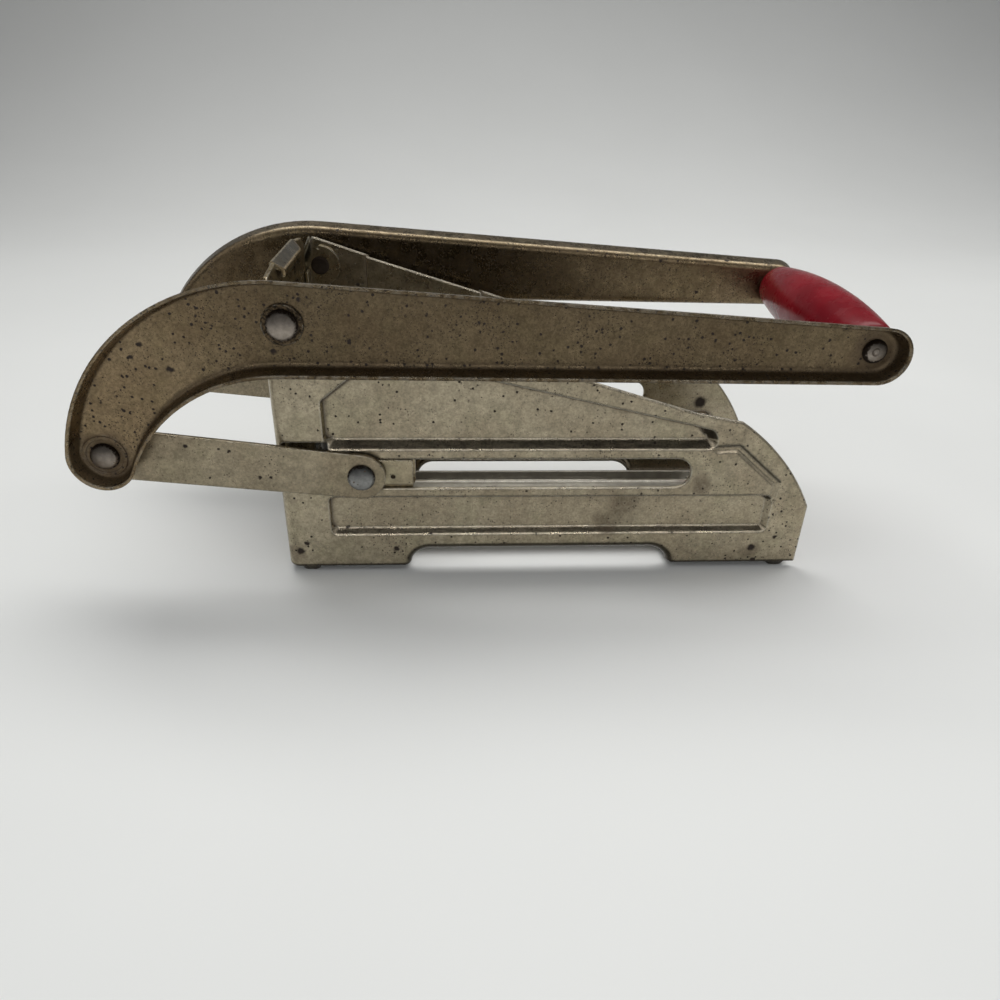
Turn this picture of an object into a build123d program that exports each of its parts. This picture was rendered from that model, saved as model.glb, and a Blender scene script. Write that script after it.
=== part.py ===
from build123d import *
import math
import os

# French fry cutter, pressed from nickel-plated steel sheet, in millimetres.
# +X runs from the blades to the grip, -Y is the user's left, +Z is up, and the feet stand on z = 0.
# Side views are drawn as (x, z), measured from the front edge of the side walls and from the underside
# of their foot flanges.
# Every left-hand piece is made at negative y, and its right-hand twin is its mirror image.

# ---- driving dimensions ----
SHEET = 1.2                  # steel sheet of the walls and the blade frame

# side walls
WALL_Y = 38.0                # outer face, from the middle plane
WALL_LENGTH = 186.2
WALL_FRONT_TOP = (4.6, 101.5)
WALL_SHOULDER = (24.0, 95.2)
WALL_TOP_BEND = (141.0, 60.0)
WALL_REAR_TOP = (157.0, 56.9)
WALL_REAR_BULGE = (173.2, 43.2)
WALL_REAR_TIP = 24.4         # height where the curved tail meets the upright rear edge
FRONT_CHAMFER_Z = 92.0       # the front edge stands upright to this height
FRONT_BEND_R = 4.0
FRONT_FLANGE = 8.5           # how far the front flange turns inward
TOP_FLANGE = 3.0             # the same flange round the chamfered top corner
ARCH_BEND_R = 3.1
FOOT_BEND_R = 1.6
FOOT_FLANGE = 18.0
ARCH_FLANGE = 4.2
ARCH_FRONT = (43.7, 50.5)    # foot edge and top edge of the arch, at its front end
ARCH_REAR = (128.5, 138.2)   # top edge and foot edge at its rear end
ARCH_TOP = 6.8
NUB_X = (7.7, 180.0)         # dimples under the foot flanges, on which the cutter stands
NUB_Y = 33.6
NUB_HALF = 4.2
NUB_TAPER = 30
NUB_DROP = 1.8               # how far they reach below the flanges

# slot for the pusher, and the recessed panels around it
SLOT_MID_Z = 37.85
SLOT_HALF = 5.55
SLOT_FRONT = 18.0            # where the slot leaves its square front end
SLOT_REAR = 141.6
KEYHOLE_FRONT = 2.2
KEYHOLE_REAR = 17.5
KEYHOLE_LOW = 33.5
KEYHOLE_TOP = 49.6
PANEL_FRONT = 16.2
UPPER_PANEL_LOW = 46.8
UPPER_PANEL_MOUTH = (70.0, 71.9)   # behind this point the recess keeps below the top edge
UPPER_PANEL_TIP = (147.5, 54.1)
UPPER_PANEL_REAR = 151.5
UPPER_DEPTH = 3.0
PANEL_ROUND = 2.0            # smallest corner of a recess
PANEL_SLOPE = 45             # degrees that the lower side of a recess leans
PANEL_STEEP = 12             # and its other sides
PANEL_END_RUN = 1.5          # how far its rear end runs forward, per millimetre of depth
LOWER_PANEL = (13.6, 28.9)   # bottom and top
LOWER_PANEL_REAR = 173.0
LOWER_DEPTH = 2.1
CREASE = [(150.0, 47.0), (157.0, 47.3), (173.2, 33.5), (172.2, 27.0)]
CREASE_HALF = 1.5
CREASE_DEPTH = 0.4
CREASE_SLOPE = 62            # degrees that its sides lean

# lever: the rims of both arms, seen from the side
ARM_SHEET = 0.9
RIM_Y = 48.3                 # outer edge of the turned-out flange
WEB_Y = 41.2                 # inner face of the arm's flat web
FLANGE_DRAFT = 11.5          # degrees that the flange leans outward
PIVOT = (8.2, 90.5)
CRANK_PIN = (-52.6, 46.9)
CRANK_END = (-51.5, 48.1)    # centre of the arm's round front end
CRANK_END_R = 10.5
GRIP_PIN = (192.9, 83.6)
GRIP_END_R = 9.2
OUTER_CURVE = (4.1, 37.8)    # centre of the big curve over the pivot
INNER_CURVE = (6.1, 23.3)    # centre of the curve under it

# links from the arms to the pusher
SLIDE_PIN = (28.2, SLOT_MID_Z)
LINK_INNER_Y = 38.9
LINK_SHEET = 1.5
LINK_CRANK_R = 8.9
LINK_SLIDE_R = 8.1

# rivets
RUNNING = 0.05               # radial clearance where something turns on a rivet
AXIAL = 0.1                  # side play of an arm between its washers
PIVOT_SHANK_R = 2.9
PIVOT_HEAD_R = 4.8
PIVOT_TAIL_R = 3.4           # peened end inside the wall
PIVOT_WASHER_R = 6.3
CRANK_SHANK_R = 2.4
CRANK_HEAD_R = 4.5
SLIDE_HEAD_R = 4.6
ROD_R = 2.6
ROD_HEAD_R = 3.9

# wooden grip
GRIP_MAX_R = 11.5
GRIP_SHOULDER = (37.0, 8.6)  # distance from the middle, and radius there
GRIP_ROUND = 2.6

# floor pan
PAN_HALF = 24.5
PAN_LIP_TOP = 7.0
PAN_ROUND = 2.4
PAN_FRONT = 14.0
PAN_REAR = 178.0

# blade cartridge: five by five cells
CELL = 11.5
CELLS = 5
GRID_LOW = 7.0
BLADE_SHEET = 0.6
BLADE_FRONT = 3.3
BLADE_REAR = 12.0
NOTCH_PLAY = 0.04
FRAME_FRONT = 1.6
FRAME_HALF = 34.8
FRAME_SHOULDER = (31.0, 101.6)
TAB_HALF = 18.0
TAB_REAR_HALF = 15.4
TAB_TOP = 103.6
TAB_REAR = 5.3
GUIDE_FRONT = 3.2
GUIDE_SHEET = 1.0
GUIDE_LEG_Y = 30.5           # inner edge of the guide's front leg
GUIDE_LEG_TOP = 89.0

# pusher
STUD_TIP = 13.4
STUD_LENGTH = 8.0
STUD_GAP = 1.8
PUSH_PLATE = 3.0
PUSH_RIVET_R = 1.6
CARRIAGE_HALF = 33.2
CARRIAGE_TOP = 67.5
CARRIAGE_HOOD = 9.0          # how far the top is turned back
WING_REAR = 46.0
WING_HALF = 8.0
SHOE_REAR = 45.3
SHOE_FRONT = 25.0
PAD_LOW = 31.0
PAD_TOP = 45.4
TONGUE_LOW = 34.0
TONGUE_TOP = 43.2
TONGUE_OUT = 38.3
SHOE_DIMPLE = (38.6, 37.0)
SLIDE_SHANK_R = 2.0

# ---- worked-out values ----
WALL_IN = WALL_Y - SHEET
WEB_OUT = WEB_Y + ARM_SHEET
WINDOW_HALF = CELL * CELLS / 2
GRID_TOP = GRID_LOW + CELL * CELLS
GRID_MID = (GRID_LOW + GRID_TOP) / 2
CENTRE_X = (CRANK_END[0] - CRANK_END_R + GRIP_PIN[0] + GRIP_MAX_R) / 2
FAR = 400.0                  # longer than anything that is cut


def side_slab(profile, y_from, y_to):
    """Extrude a side view between two distances left of the middle plane."""
    return extrude(Plane.XZ.offset(y_from) * profile, amount=y_to - y_from)


def side_disc(centre, radius, y_from, y_to):
    return side_slab(Pos(*centre) * Circle(radius), y_from, y_to)


def side_box(x_from, x_to, y_from, y_to, z_from, z_to):
    """A block between two distances left of the middle plane."""
    size = (x_to - x_from, y_to - y_from, z_to - z_from)
    middle = ((x_from + x_to) / 2, -(y_from + y_to) / 2, (z_from + z_to) / 2)
    return Pos(*middle) * Box(*size)


def middle_box(x_from, x_to, half, z_from, z_to):
    """A block that is symmetric about the middle plane."""
    return side_box(x_from, x_to, -half, half, z_from, z_to)


def domed_head(centre, radius, y_base, height, outward=True):
    """A rivet head: a disc with a rounded rim, standing left of y_base or, turned over, right of it."""
    y_top = y_base + height if outward else y_base - height
    head = side_disc(centre, radius, min(y_base, y_top), max(y_base, y_top))
    rim = head.edges().sort_by(Axis.Y)
    top_edge = rim[0] if outward else rim[-1]
    return fillet(top_edge, min(height, radius) * 0.7)


def along(start, heading, distance):
    return (start[0] + heading[0] * distance, start[1] + heading[1] * distance)


def towards(start, end):
    """The unit vector from one point to another, and their distance."""
    length = math.dist(start, end)
    return ((end[0] - start[0]) / length, (end[1] - start[1]) / length), length


def capsule(start, end, r_start, r_end):
    """The outline of a bar with round ends of two radii."""
    dx, dz = end[0] - start[0], end[1] - start[1]
    length = math.hypot(dx, dz)
    lean = math.acos((r_start - r_end) / length)
    heading = math.atan2(dz, dx)

    def rim_point(centre, radius, angle):
        return (centre[0] + radius * math.cos(angle), centre[1] + radius * math.sin(angle))

    corners = [rim_point(start, r_start, heading + lean), rim_point(end, r_end, heading + lean),
               rim_point(end, r_end, heading - lean), rim_point(start, r_start, heading - lean)]
    return make_face(Polyline(*corners, close=True)) + Pos(*start) * Circle(r_start) \
        + Pos(*end) * Circle(r_end)


# ---- side walls ----
def wall_outline():
    edge = Polyline((0, 0), (0, FRONT_CHAMFER_Z), WALL_FRONT_TOP, WALL_SHOULDER, WALL_TOP_BEND,
                    WALL_REAR_TOP)
    tail = ThreePointArc(WALL_REAR_TOP, WALL_REAR_BULGE, (WALL_LENGTH, WALL_REAR_TIP))
    rear_foot = Polyline((WALL_LENGTH, WALL_REAR_TIP), (WALL_LENGTH, 0), (ARCH_REAR[1], 0))
    arch = Line((ARCH_REAR[0], ARCH_TOP), (ARCH_FRONT[1], ARCH_TOP))
    for foot_x, top_x in (ARCH_REAR[::-1], ARCH_FRONT):
        part_way = math.sqrt(0.5)
        arch += ThreePointArc((foot_x, 0), (top_x + (foot_x - top_x) * part_way, ARCH_TOP * part_way),
                              (top_x, ARCH_TOP))
    front_foot = Line((ARCH_FRONT[0], 0), (0, 0))
    return make_face(edge + tail + rear_foot + arch + front_foot)


def upper_panel(lift, corner):
    """The large recess: it runs out through the top edge behind the pivot."""
    low = UPPER_PANEL_LOW + lift
    retreat = lift * PANEL_END_RUN
    back, _ = towards(UPPER_PANEL_TIP, UPPER_PANEL_MOUTH)
    points = [(PANEL_FRONT, low), (PANEL_FRONT, 64.0), (26.6, 72.5), (26.6, 110.0),
              (UPPER_PANEL_MOUTH[0], 110.0), UPPER_PANEL_MOUTH, along(UPPER_PANEL_TIP, back, retreat),
              (UPPER_PANEL_REAR - retreat, low)]
    face = make_face(Polyline(*points, close=True))
    return fillet(face.vertices(), corner)


def lower_panel(lift, corner):
    low, top = LOWER_PANEL[0] + lift, LOWER_PANEL[1]
    rear = LOWER_PANEL_REAR - lift
    points = [(PANEL_FRONT, low), (PANEL_FRONT, top), (rear, top), (rear, low)]
    face = make_face(Polyline(*points, close=True))
    return fillet(face.vertices(), corner)


def pressed_panel(panel, outline, depth):
    """The outward hollow of a recess and the metal that backs it: one long slope below, steep sides above."""
    hollow, backing = [], []
    for lift, taper in ((0, PANEL_SLOPE), (depth, PANEL_STEEP)):
        lean = math.radians(taper)
        face = panel(lift, max(PANEL_ROUND, depth * math.tan(lean) + 0.2))
        grown = offset(face, amount=SHEET * (1 / math.cos(lean) - math.tan(lean)))
        hollow.append(extrude(Plane.XZ.offset(WALL_Y) * face, amount=-depth, taper=taper))
        backing.append(extrude(Plane.XZ.offset(WALL_IN) * grown, amount=-depth, taper=taper))
    within = side_slab(outline, WALL_IN - depth - 1, WALL_Y)
    return hollow[0] + hollow[1], (backing[0] + backing[1]) & within


def bent_tray(solid, y_left, inset):
    """Round a slab's outer edges where the sheet is bent: up the front, over the arch, along the feet."""
    def rounded(shape, is_bent, radius):
        on_face = [e for e in shape.edges() if abs(e.center().Y + y_left) < 0.01]
        return fillet([e for e in on_face if is_bent(e.center())], radius - inset)

    rear = WALL_LENGTH - 2
    solid = rounded(solid, lambda c: c.X < 4.5 and c.Z > 3, FRONT_BEND_R)
    solid = rounded(solid, lambda c: 40 < c.X < 142 and SHEET + 0.05 < c.Z < ARCH_TOP + 2, ARCH_BEND_R)
    return rounded(solid, lambda c: 4.5 < c.X < rear and c.Z < SHEET + 0.05, FOOT_BEND_R)


def keyhole():
    """The square front end of the slot, where the slide shoe is put in."""
    middle = ((KEYHOLE_FRONT + KEYHOLE_REAR) / 2, (KEYHOLE_LOW + KEYHOLE_TOP) / 2)
    return Pos(*middle) * RectangleRounded(KEYHOLE_REAR - KEYHOLE_FRONT, KEYHOLE_TOP - KEYHOLE_LOW, 1.5)


def foot_nub(middle, half, z_from, z_to):
    """A block that narrows downward, for the dimples pressed out of the foot flanges."""
    plan = Pos(middle, -NUB_Y) * RectangleRounded(2 * half, 2 * half, half * 0.7)
    nub = extrude(Plane.XY.offset(z_to) * plan, amount=z_from - z_to, taper=NUB_TAPER)
    return fillet(nub.faces().sort_by(Axis.Z)[0].edges(), half * 0.12)


def side_wall():
    outline = wall_outline()
    inside = WALL_Y - FOOT_FLANGE - 1
    block = bent_tray(side_slab(outline, inside + 1, WALL_Y), WALL_Y, 0)
    core = bent_tray(side_slab(offset(outline, amount=-SHEET), inside, WALL_IN), WALL_IN, SHEET)
    wall = block - core
    # the top and rear edges are plain cut sheet, so the tray's rim is cut back there
    wall -= side_box(WALL_FRONT_TOP[0] + 0.5, FAR, inside, WALL_IN, 14, FAR)
    wall -= side_box(WALL_LENGTH - 4, FAR, inside, WALL_IN, -1, FAR)
    # the front flange is shallow, and shallower still round the top corner
    wall -= side_box(-1, 8, inside, WALL_Y - FRONT_FLANGE, SHEET, FAR)
    wall -= side_box(-1, 8, inside, WALL_Y - TOP_FLANGE, FRONT_CHAMFER_Z - 6, FAR)
    # a flat seat for the blade frame where the front flange meets the foot
    wall -= side_box(SHEET, 8, inside, FRAME_HALF + 0.2, SHEET, 6)
    # between the feet the flange follows the arch and is narrower
    wall -= side_box(ARCH_FRONT[0] - 1.6, ARCH_REAR[1] + 1.6, inside, WALL_Y - ARCH_FLANGE, SHEET, 14)
    wall -= side_box(ARCH_FRONT[0], ARCH_REAR[1], inside, WALL_Y - ARCH_FLANGE, -1, 14)
    for panel, depth in ((upper_panel, UPPER_DEPTH), (lower_panel, LOWER_DEPTH)):
        hollow, backing = pressed_panel(panel, outline, depth)
        wall = wall + backing - hollow
    # a shallow crease joins the two recesses behind the slot
    for start, end in zip(CREASE, CREASE[1:]):
        groove = Plane.XZ.offset(WALL_Y) * capsule(start, end, CREASE_HALF, CREASE_HALF)
        wall -= extrude(groove, amount=-CREASE_DEPTH, taper=CREASE_SLOPE)
    slot = capsule((SLOT_FRONT, SLOT_MID_Z), (SLOT_REAR - SLOT_HALF, SLOT_MID_Z), SLOT_HALF, SLOT_HALF)
    wall -= side_slab(slot + keyhole(), WALL_IN - 1, WALL_Y + 1)
    for middle in NUB_X:
        wall += foot_nub(middle, NUB_HALF, -NUB_DROP, SHEET / 2)
    for middle in NUB_X:
        wall -= foot_nub(middle, NUB_HALF - SHEET, SHEET - NUB_DROP, SHEET + 0.5)
    wall -= side_disc(PIVOT, PIVOT_SHANK_R, WALL_IN - 1, WALL_Y + 1)
    return wall


# ---- floor pan ----
def floor_pan():
    """A shallow tray on the foot flanges, its long sides turned up."""
    pan = middle_box(PAN_FRONT, PAN_REAR, PAN_HALF, SHEET, PAN_LIP_TOP)
    pan = fillet(pan.edges().filter_by(Axis.X).group_by(Axis.Z)[0], PAN_ROUND)
    core = middle_box(PAN_FRONT - 1, PAN_REAR + 1, PAN_HALF - SHEET, 2 * SHEET, FAR)
    return pan - fillet(core.edges().filter_by(Axis.X).group_by(Axis.Z)[0], PAN_ROUND - SHEET)


# ---- blade guides ----
def blade_guide():
    """An angle strip: one leg lies on the wall and is held by the pivot rivet."""
    foot, rear, eye_r = 4.0, 11.5, 7.6
    slant_top = (GUIDE_FRONT + 4.1, GUIDE_LEG_TOP + 8.0)
    strip = Polyline((GUIDE_FRONT, foot), (GUIDE_FRONT, GUIDE_LEG_TOP), slant_top,
                     (rear, slant_top[1] - 1.2), (rear, foot), close=True)
    eye = (Pos(*PIVOT) * Circle(eye_r)) & (Pos(PIVOT[0] + FAR / 2, PIVOT[1]) * Rectangle(FAR, FAR))
    leaf = make_face(strip) + eye
    guide = side_slab(leaf, WALL_IN - GUIDE_SHEET, WALL_IN)
    # the leaf is cut away where the wall has its keyhole
    guide -= side_box(GUIDE_FRONT + 1.6, rear + 1, 0, FAR, KEYHOLE_LOW, KEYHOLE_TOP)
    guide += side_box(GUIDE_FRONT, GUIDE_FRONT + GUIDE_SHEET, GUIDE_LEG_Y, WALL_IN, foot, GUIDE_LEG_TOP)
    corner = [e for e in guide.edges().filter_by(Axis.Z) if abs(e.center().X - GUIDE_FRONT) < 0.01
              and abs(e.center().Y + WALL_IN) < 0.01]
    guide = fillet(corner, 0.9)
    return guide - side_disc(PIVOT, PIVOT_SHANK_R, 0, FAR)


# ---- blade cartridge ----
def blade_frame():
    back = FRAME_FRONT + SHEET
    tab_root = TAB_TOP - 3.2
    right_side = [(TAB_HALF, tab_root), (TAB_HALF, TAB_TOP - 0.4), FRAME_SHOULDER,
                  (FRAME_HALF, FRAME_SHOULDER[1] - 3.0), (FRAME_HALF, SHEET)]
    left_side = [(-y, z) for y, z in reversed(right_side)]
    outline = make_face(Polyline(*left_side, *right_side, close=True))
    plate = extrude(Plane.YZ.offset(FRAME_FRONT) * outline, SHEET)
    collar_half = WINDOW_HALF + SHEET
    collar = middle_box(back, BLADE_REAR, collar_half, GRID_LOW - SHEET, GRID_TOP + SHEET)
    collar = fillet(collar.edges().filter_by(Axis.X), 1.6)
    frame = plate + collar
    frame -= middle_box(0, BLADE_REAR + 1, WINDOW_HALF, GRID_LOW, GRID_TOP)
    # pull tab: the top edge leans forward, is turned back and down, and its end is turned under
    front, inner = FRAME_FRONT - 0.7, TAB_REAR - SHEET
    lip = [(FRAME_FRONT, tab_root), (front, TAB_TOP - 1.2), (front, TAB_TOP - 0.5), (front + 0.5, TAB_TOP),
           (front + 1.1, TAB_TOP), (TAB_REAR - 0.3, TAB_TOP - 2.6), (TAB_REAR, TAB_TOP - 3.3),
           (TAB_REAR, TAB_TOP - 5.4), (inner, TAB_TOP - 5.4), (inner, TAB_TOP - 3.5),
           (back - 0.6, TAB_TOP - 1.8), (back, tab_root)]
    plan = make_face(Polyline((0, -TAB_HALF), (back, -TAB_HALF), (TAB_REAR, -TAB_REAR_HALF),
                              (TAB_REAR, TAB_REAR_HALF), (back, TAB_HALF), (0, TAB_HALF), close=True))
    plan = fillet(plan.vertices().group_by(Axis.X)[-1], 1.2)
    tab = side_slab(make_face(Polyline(*lip, close=True)), -TAB_HALF, TAB_HALF)
    frame += tab & extrude(Plane.XY.offset(tab_root - 5) * plan, 20)
    # a stiffening bead across the blank sheet above the window
    length, height, round_r, depth = 44.0, 14.0, 6.9, 0.9
    above = Pos(0, 84.0)
    rise = Plane.YZ.offset(FRAME_FRONT) * above * RectangleRounded(length, height, round_r)
    hollow = Plane.YZ.offset(back) * above * RectangleRounded(length - 1.6, height - 1.6, round_r - 0.8)
    frame += extrude(rise, -depth)
    return frame - extrude(hollow, -depth - 0.2)


def blade_positions():
    return [CELL * (i - (CELLS - 2) / 2) for i in range(CELLS - 1)]


def blade_section():
    """A thin strip, ground to an edge at the rear where it meets the potato."""
    half = BLADE_SHEET / 2
    bevel = 1.1
    points = [(BLADE_FRONT, -half), (BLADE_REAR - bevel, -half), (BLADE_REAR, -0.06),
              (BLADE_REAR, 0.06), (BLADE_REAR - bevel, half), (BLADE_FRONT, half)]
    return make_face(Polyline(*points, close=True))


def blades(upright):
    """Four crossing strips, half lapped: the upright ones are notched at the rear."""
    middle_x = (BLADE_FRONT + BLADE_REAR) / 2
    notch = BLADE_SHEET + NOTCH_PLAY
    length = CELL * CELLS
    strips = []
    for place in blade_positions():
        if upright:
            strip = extrude(Pos(0, place, GRID_LOW) * blade_section(), length)
            for other in blade_positions():
                strip -= Pos(middle_x + 10, place, GRID_MID + other) * Box(20, 2, notch)
        else:
            strip = extrude(Plane.XZ.offset(-WINDOW_HALF) * Pos(0, GRID_MID + place) * blade_section(), length)
            for other in blade_positions():
                strip -= Pos(middle_x - 10 + NOTCH_PLAY, other, GRID_MID + place) * Box(20, notch, 2)
        strips.append(strip.solid())
    return Compound(strips)


# ---- pusher ----
def pusher_block():
    """A cast block: one square stud for each cell."""
    plate_front = STUD_TIP + STUD_LENGTH
    plate = middle_box(plate_front, plate_front + PUSH_PLATE, WINDOW_HALF, GRID_LOW + 0.6, GRID_TOP)
    block = fillet(plate.edges().filter_by(Axis.X), 2.0)
    stud = CELL - STUD_GAP
    for row in range(CELLS):
        for column in range(CELLS):
            y = CELL * (column - (CELLS - 1) / 2)
            z = GRID_LOW + CELL * (row + 0.5)
            piece = Pos((STUD_TIP + plate_front) / 2, y, z) * Box(STUD_LENGTH, stud, stud)
            piece = chamfer(piece.faces().sort_by(Axis.X)[0].edges(), 0.8)
            block += piece
    for place in pusher_rivet_places():
        block -= rearward_disc(place, PUSH_RIVET_R, plate_front + 0.6, FAR)
    return block


def pusher_rivet_places():
    return [(side * CELL, GRID_MID + rise * CELL * 1.5) for side in (-1, 1) for rise in (-1, 1)]


def rearward_disc(place, radius, x_from, x_to):
    """A disc whose axis runs along the slide, at (y, z)."""
    return extrude(Plane.YZ.offset(x_from) * Pos(*place) * Circle(radius), x_to - x_from)


def pusher_carriage():
    """A bent sheet: the face behind the block, two side wings and a turned-back top."""
    face = STUD_TIP + STUD_LENGTH + PUSH_PLATE
    back = face + SHEET
    carriage = middle_box(face, back, CARRIAGE_HALF, GRID_LOW + 0.6, CARRIAGE_TOP)
    carriage += middle_box(face, face + CARRIAGE_HOOD, CARRIAGE_HALF - 6, CARRIAGE_TOP - SHEET, CARRIAGE_TOP)
    wings = middle_box(face, WING_REAR, CARRIAGE_HALF, SLIDE_PIN[1] - WING_HALF, SLIDE_PIN[1] + WING_HALF)
    wings = fillet(wings.faces().sort_by(Axis.X)[-1].edges().filter_by(Axis.Y), WING_HALF / 2)
    carriage += wings - middle_box(face, FAR, CARRIAGE_HALF - SHEET, 0, FAR)
    carriage -= side_disc(SLIDE_PIN, SLIDE_SHANK_R, -FAR, FAR)
    for place in pusher_rivet_places():
        carriage -= rearward_disc(place, PUSH_RIVET_R, face - 1, back + 1)
    corners = [e for e in carriage.edges().filter_by(Axis.Z)
               if abs(e.center().X - face) < 0.01 and abs(abs(e.center().Y) - CARRIAGE_HALF) < 0.01]
    return fillet(corners, 1.0)


def pusher_rivets():
    face = STUD_TIP + STUD_LENGTH + PUSH_PLATE
    back = face + SHEET
    rivets = []
    for place in pusher_rivet_places():
        shank = rearward_disc(place, PUSH_RIVET_R, face - PUSH_PLATE + 0.6, back)
        head = rearward_disc(place, PUSH_RIVET_R + 1.4, back, back + 1.3)
        head = fillet(head.edges().sort_by(Axis.X)[-1], 0.9)
        rivets.append((shank + head).solid())
    return Compound(rivets)


def slide_shoe():
    """The guide that runs in the slot: a tongue through the slot on a wider pad inside the wall."""
    pad_out = WALL_IN - 0.3
    pad = side_box(SHOE_FRONT, SHOE_REAR, CARRIAGE_HALF, pad_out, PAD_LOW, PAD_TOP)
    pad = fillet(pad.edges().filter_by(Axis.Y), 2.0)
    tongue = side_box(SHOE_FRONT, SHOE_REAR, pad_out, TONGUE_OUT, TONGUE_LOW, TONGUE_TOP)
    tongue = fillet(tongue.edges().filter_by(Axis.Y), 0.5)
    shoe = pad + tongue
    shoe -= side_disc(SHOE_DIMPLE, 0.8, WALL_IN, FAR)
    return shoe - side_disc(SLIDE_PIN, SLIDE_SHANK_R, 0, FAR)


def slide_rivet():
    """The peened pin that holds the shoe to the carriage wing."""
    base = CARRIAGE_HALF - SHEET
    pin = side_disc(SLIDE_PIN, SLIDE_SHANK_R, base, TONGUE_OUT)
    return pin + domed_head(SLIDE_PIN, SLIDE_SHANK_R + 0.5, base, 1.1, outward=False)


# ---- lever ----
def common_normal(centre_a, centre_b, gap, side):
    """The normal of a straight line that touches two circles whose signed radii differ by gap."""
    (ux, uz), length = towards(centre_a, centre_b)
    lean = math.acos(gap / length) * side
    return (ux * math.cos(lean) - uz * math.sin(lean), ux * math.sin(lean) + uz * math.cos(lean))


def arm_outline(inset=0.0):
    """A side view of the arm, drawn that far inside its rim. Every line and arc meets tangentially."""
    grip_r = GRIP_END_R - inset
    crank_r = CRANK_END_R - inset
    to_crank, reach = towards(OUTER_CURVE, CRANK_END)
    outer_r = reach + CRANK_END_R - inset
    outer_end = along(OUTER_CURVE, to_crank, outer_r)
    to_inner, inner_reach = towards(INNER_CURVE, CRANK_END)
    inner_r = inner_reach - CRANK_END_R + inset
    inner_end = along(INNER_CURVE, to_inner, inner_r)
    top_normal = common_normal(GRIP_PIN, OUTER_CURVE, grip_r - outer_r, -1)
    low_normal = common_normal(GRIP_PIN, INNER_CURVE, grip_r + inner_r, 1)
    top_grip = along(GRIP_PIN, top_normal, grip_r)
    top_bend = along(OUTER_CURVE, top_normal, outer_r)
    low_grip = along(GRIP_PIN, low_normal, grip_r)
    low_bend = along(INNER_CURVE, low_normal, -inner_r)
    outer_mid, _ = towards(OUTER_CURVE, ((top_bend[0] + outer_end[0]) / 2, (top_bend[1] + outer_end[1]) / 2))
    inner_mid, _ = towards(INNER_CURVE, ((low_bend[0] + inner_end[0]) / 2, (low_bend[1] + inner_end[1]) / 2))
    edges = Line(top_grip, top_bend)
    edges += ThreePointArc(top_bend, along(OUTER_CURVE, outer_mid, outer_r), outer_end)
    edges += ThreePointArc(outer_end, (CRANK_END[0] - crank_r * math.sin(math.radians(20)),
                                       CRANK_END[1] - crank_r * math.cos(math.radians(20))), inner_end)
    edges += ThreePointArc(inner_end, along(INNER_CURVE, inner_mid, inner_r), low_bend)
    edges += Line(low_bend, low_grip)
    edges += ThreePointArc(low_grip, (GRIP_PIN[0] + grip_r, GRIP_PIN[1]), top_grip)
    return make_face(edges)


def arm_tray(web_y, rim_inset):
    """A solid whose sides lean outward from the web to the rim."""
    web_inset = rim_inset + (RIM_Y - web_y) * math.tan(math.radians(FLANGE_DRAFT))
    return loft([Plane.XZ.offset(RIM_Y) * arm_outline(rim_inset),
                 Plane.XZ.offset(web_y) * arm_outline(web_inset)], ruled=True)


def arm():
    """A dished pressing: flat web inside, flange turned outward all round."""
    body = arm_tray(WEB_Y, 0.0)
    body = fillet(body.faces().sort_by(Axis.Y)[-1].edges(), 2.6)
    core = arm_tray(WEB_OUT, ARM_SHEET / math.cos(math.radians(FLANGE_DRAFT)))
    core = fillet(core.faces().sort_by(Axis.Y)[-1].edges(), 1.5)
    shell = body - core
    # raised ring round the crank rivet
    ring = side_disc(CRANK_PIN, 6.9, WEB_OUT - 0.2, WEB_OUT + 0.4) - side_disc(CRANK_PIN, 5.9, 0, FAR)
    shell += ring
    shell -= side_disc(PIVOT, PIVOT_SHANK_R + RUNNING, 0, FAR)
    shell -= side_disc(CRANK_PIN, CRANK_SHANK_R, 0, FAR)
    return shell - side_disc(GRIP_PIN, ROD_R, 0, FAR)


def pivot_rivet():
    inner = WALL_IN - GUIDE_SHEET
    outer = WEB_OUT + AXIAL + 0.8
    rivet = side_disc(PIVOT, PIVOT_SHANK_R, inner, outer)
    rivet += domed_head(PIVOT, PIVOT_HEAD_R, outer, 1.7)
    return rivet + domed_head(PIVOT, PIVOT_TAIL_R, inner, 1.1, outward=False)


def ring_washer(centre, bore, radius, y_from, y_to):
    return side_disc(centre, radius, y_from, y_to) - side_disc(centre, bore, 0, FAR)


def crank_rivet():
    inner = LINK_INNER_Y - AXIAL
    rivet = side_disc(CRANK_PIN, CRANK_SHANK_R, inner, WEB_OUT)
    rivet += domed_head(CRANK_PIN, CRANK_HEAD_R, WEB_OUT, 1.5)
    return rivet + side_disc(CRANK_PIN, 3.7, inner - 0.45, inner)


def link():
    bar = capsule(CRANK_PIN, SLIDE_PIN, LINK_CRANK_R, LINK_SLIDE_R)
    plate = side_slab(bar, LINK_INNER_Y, LINK_INNER_Y + LINK_SHEET)
    plate -= side_disc(CRANK_PIN, CRANK_SHANK_R + RUNNING, 0, FAR)
    return plate - side_disc(SLIDE_PIN, 2.4, 0, FAR)


def link_rivet():
    """The head that shows on the link's front end; its shank stops flush with the link's back."""
    outer = LINK_INNER_Y + LINK_SHEET
    return side_disc(SLIDE_PIN, 2.4, LINK_INNER_Y, outer) + domed_head(SLIDE_PIN, SLIDE_HEAD_R, outer, 1.5)


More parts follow.
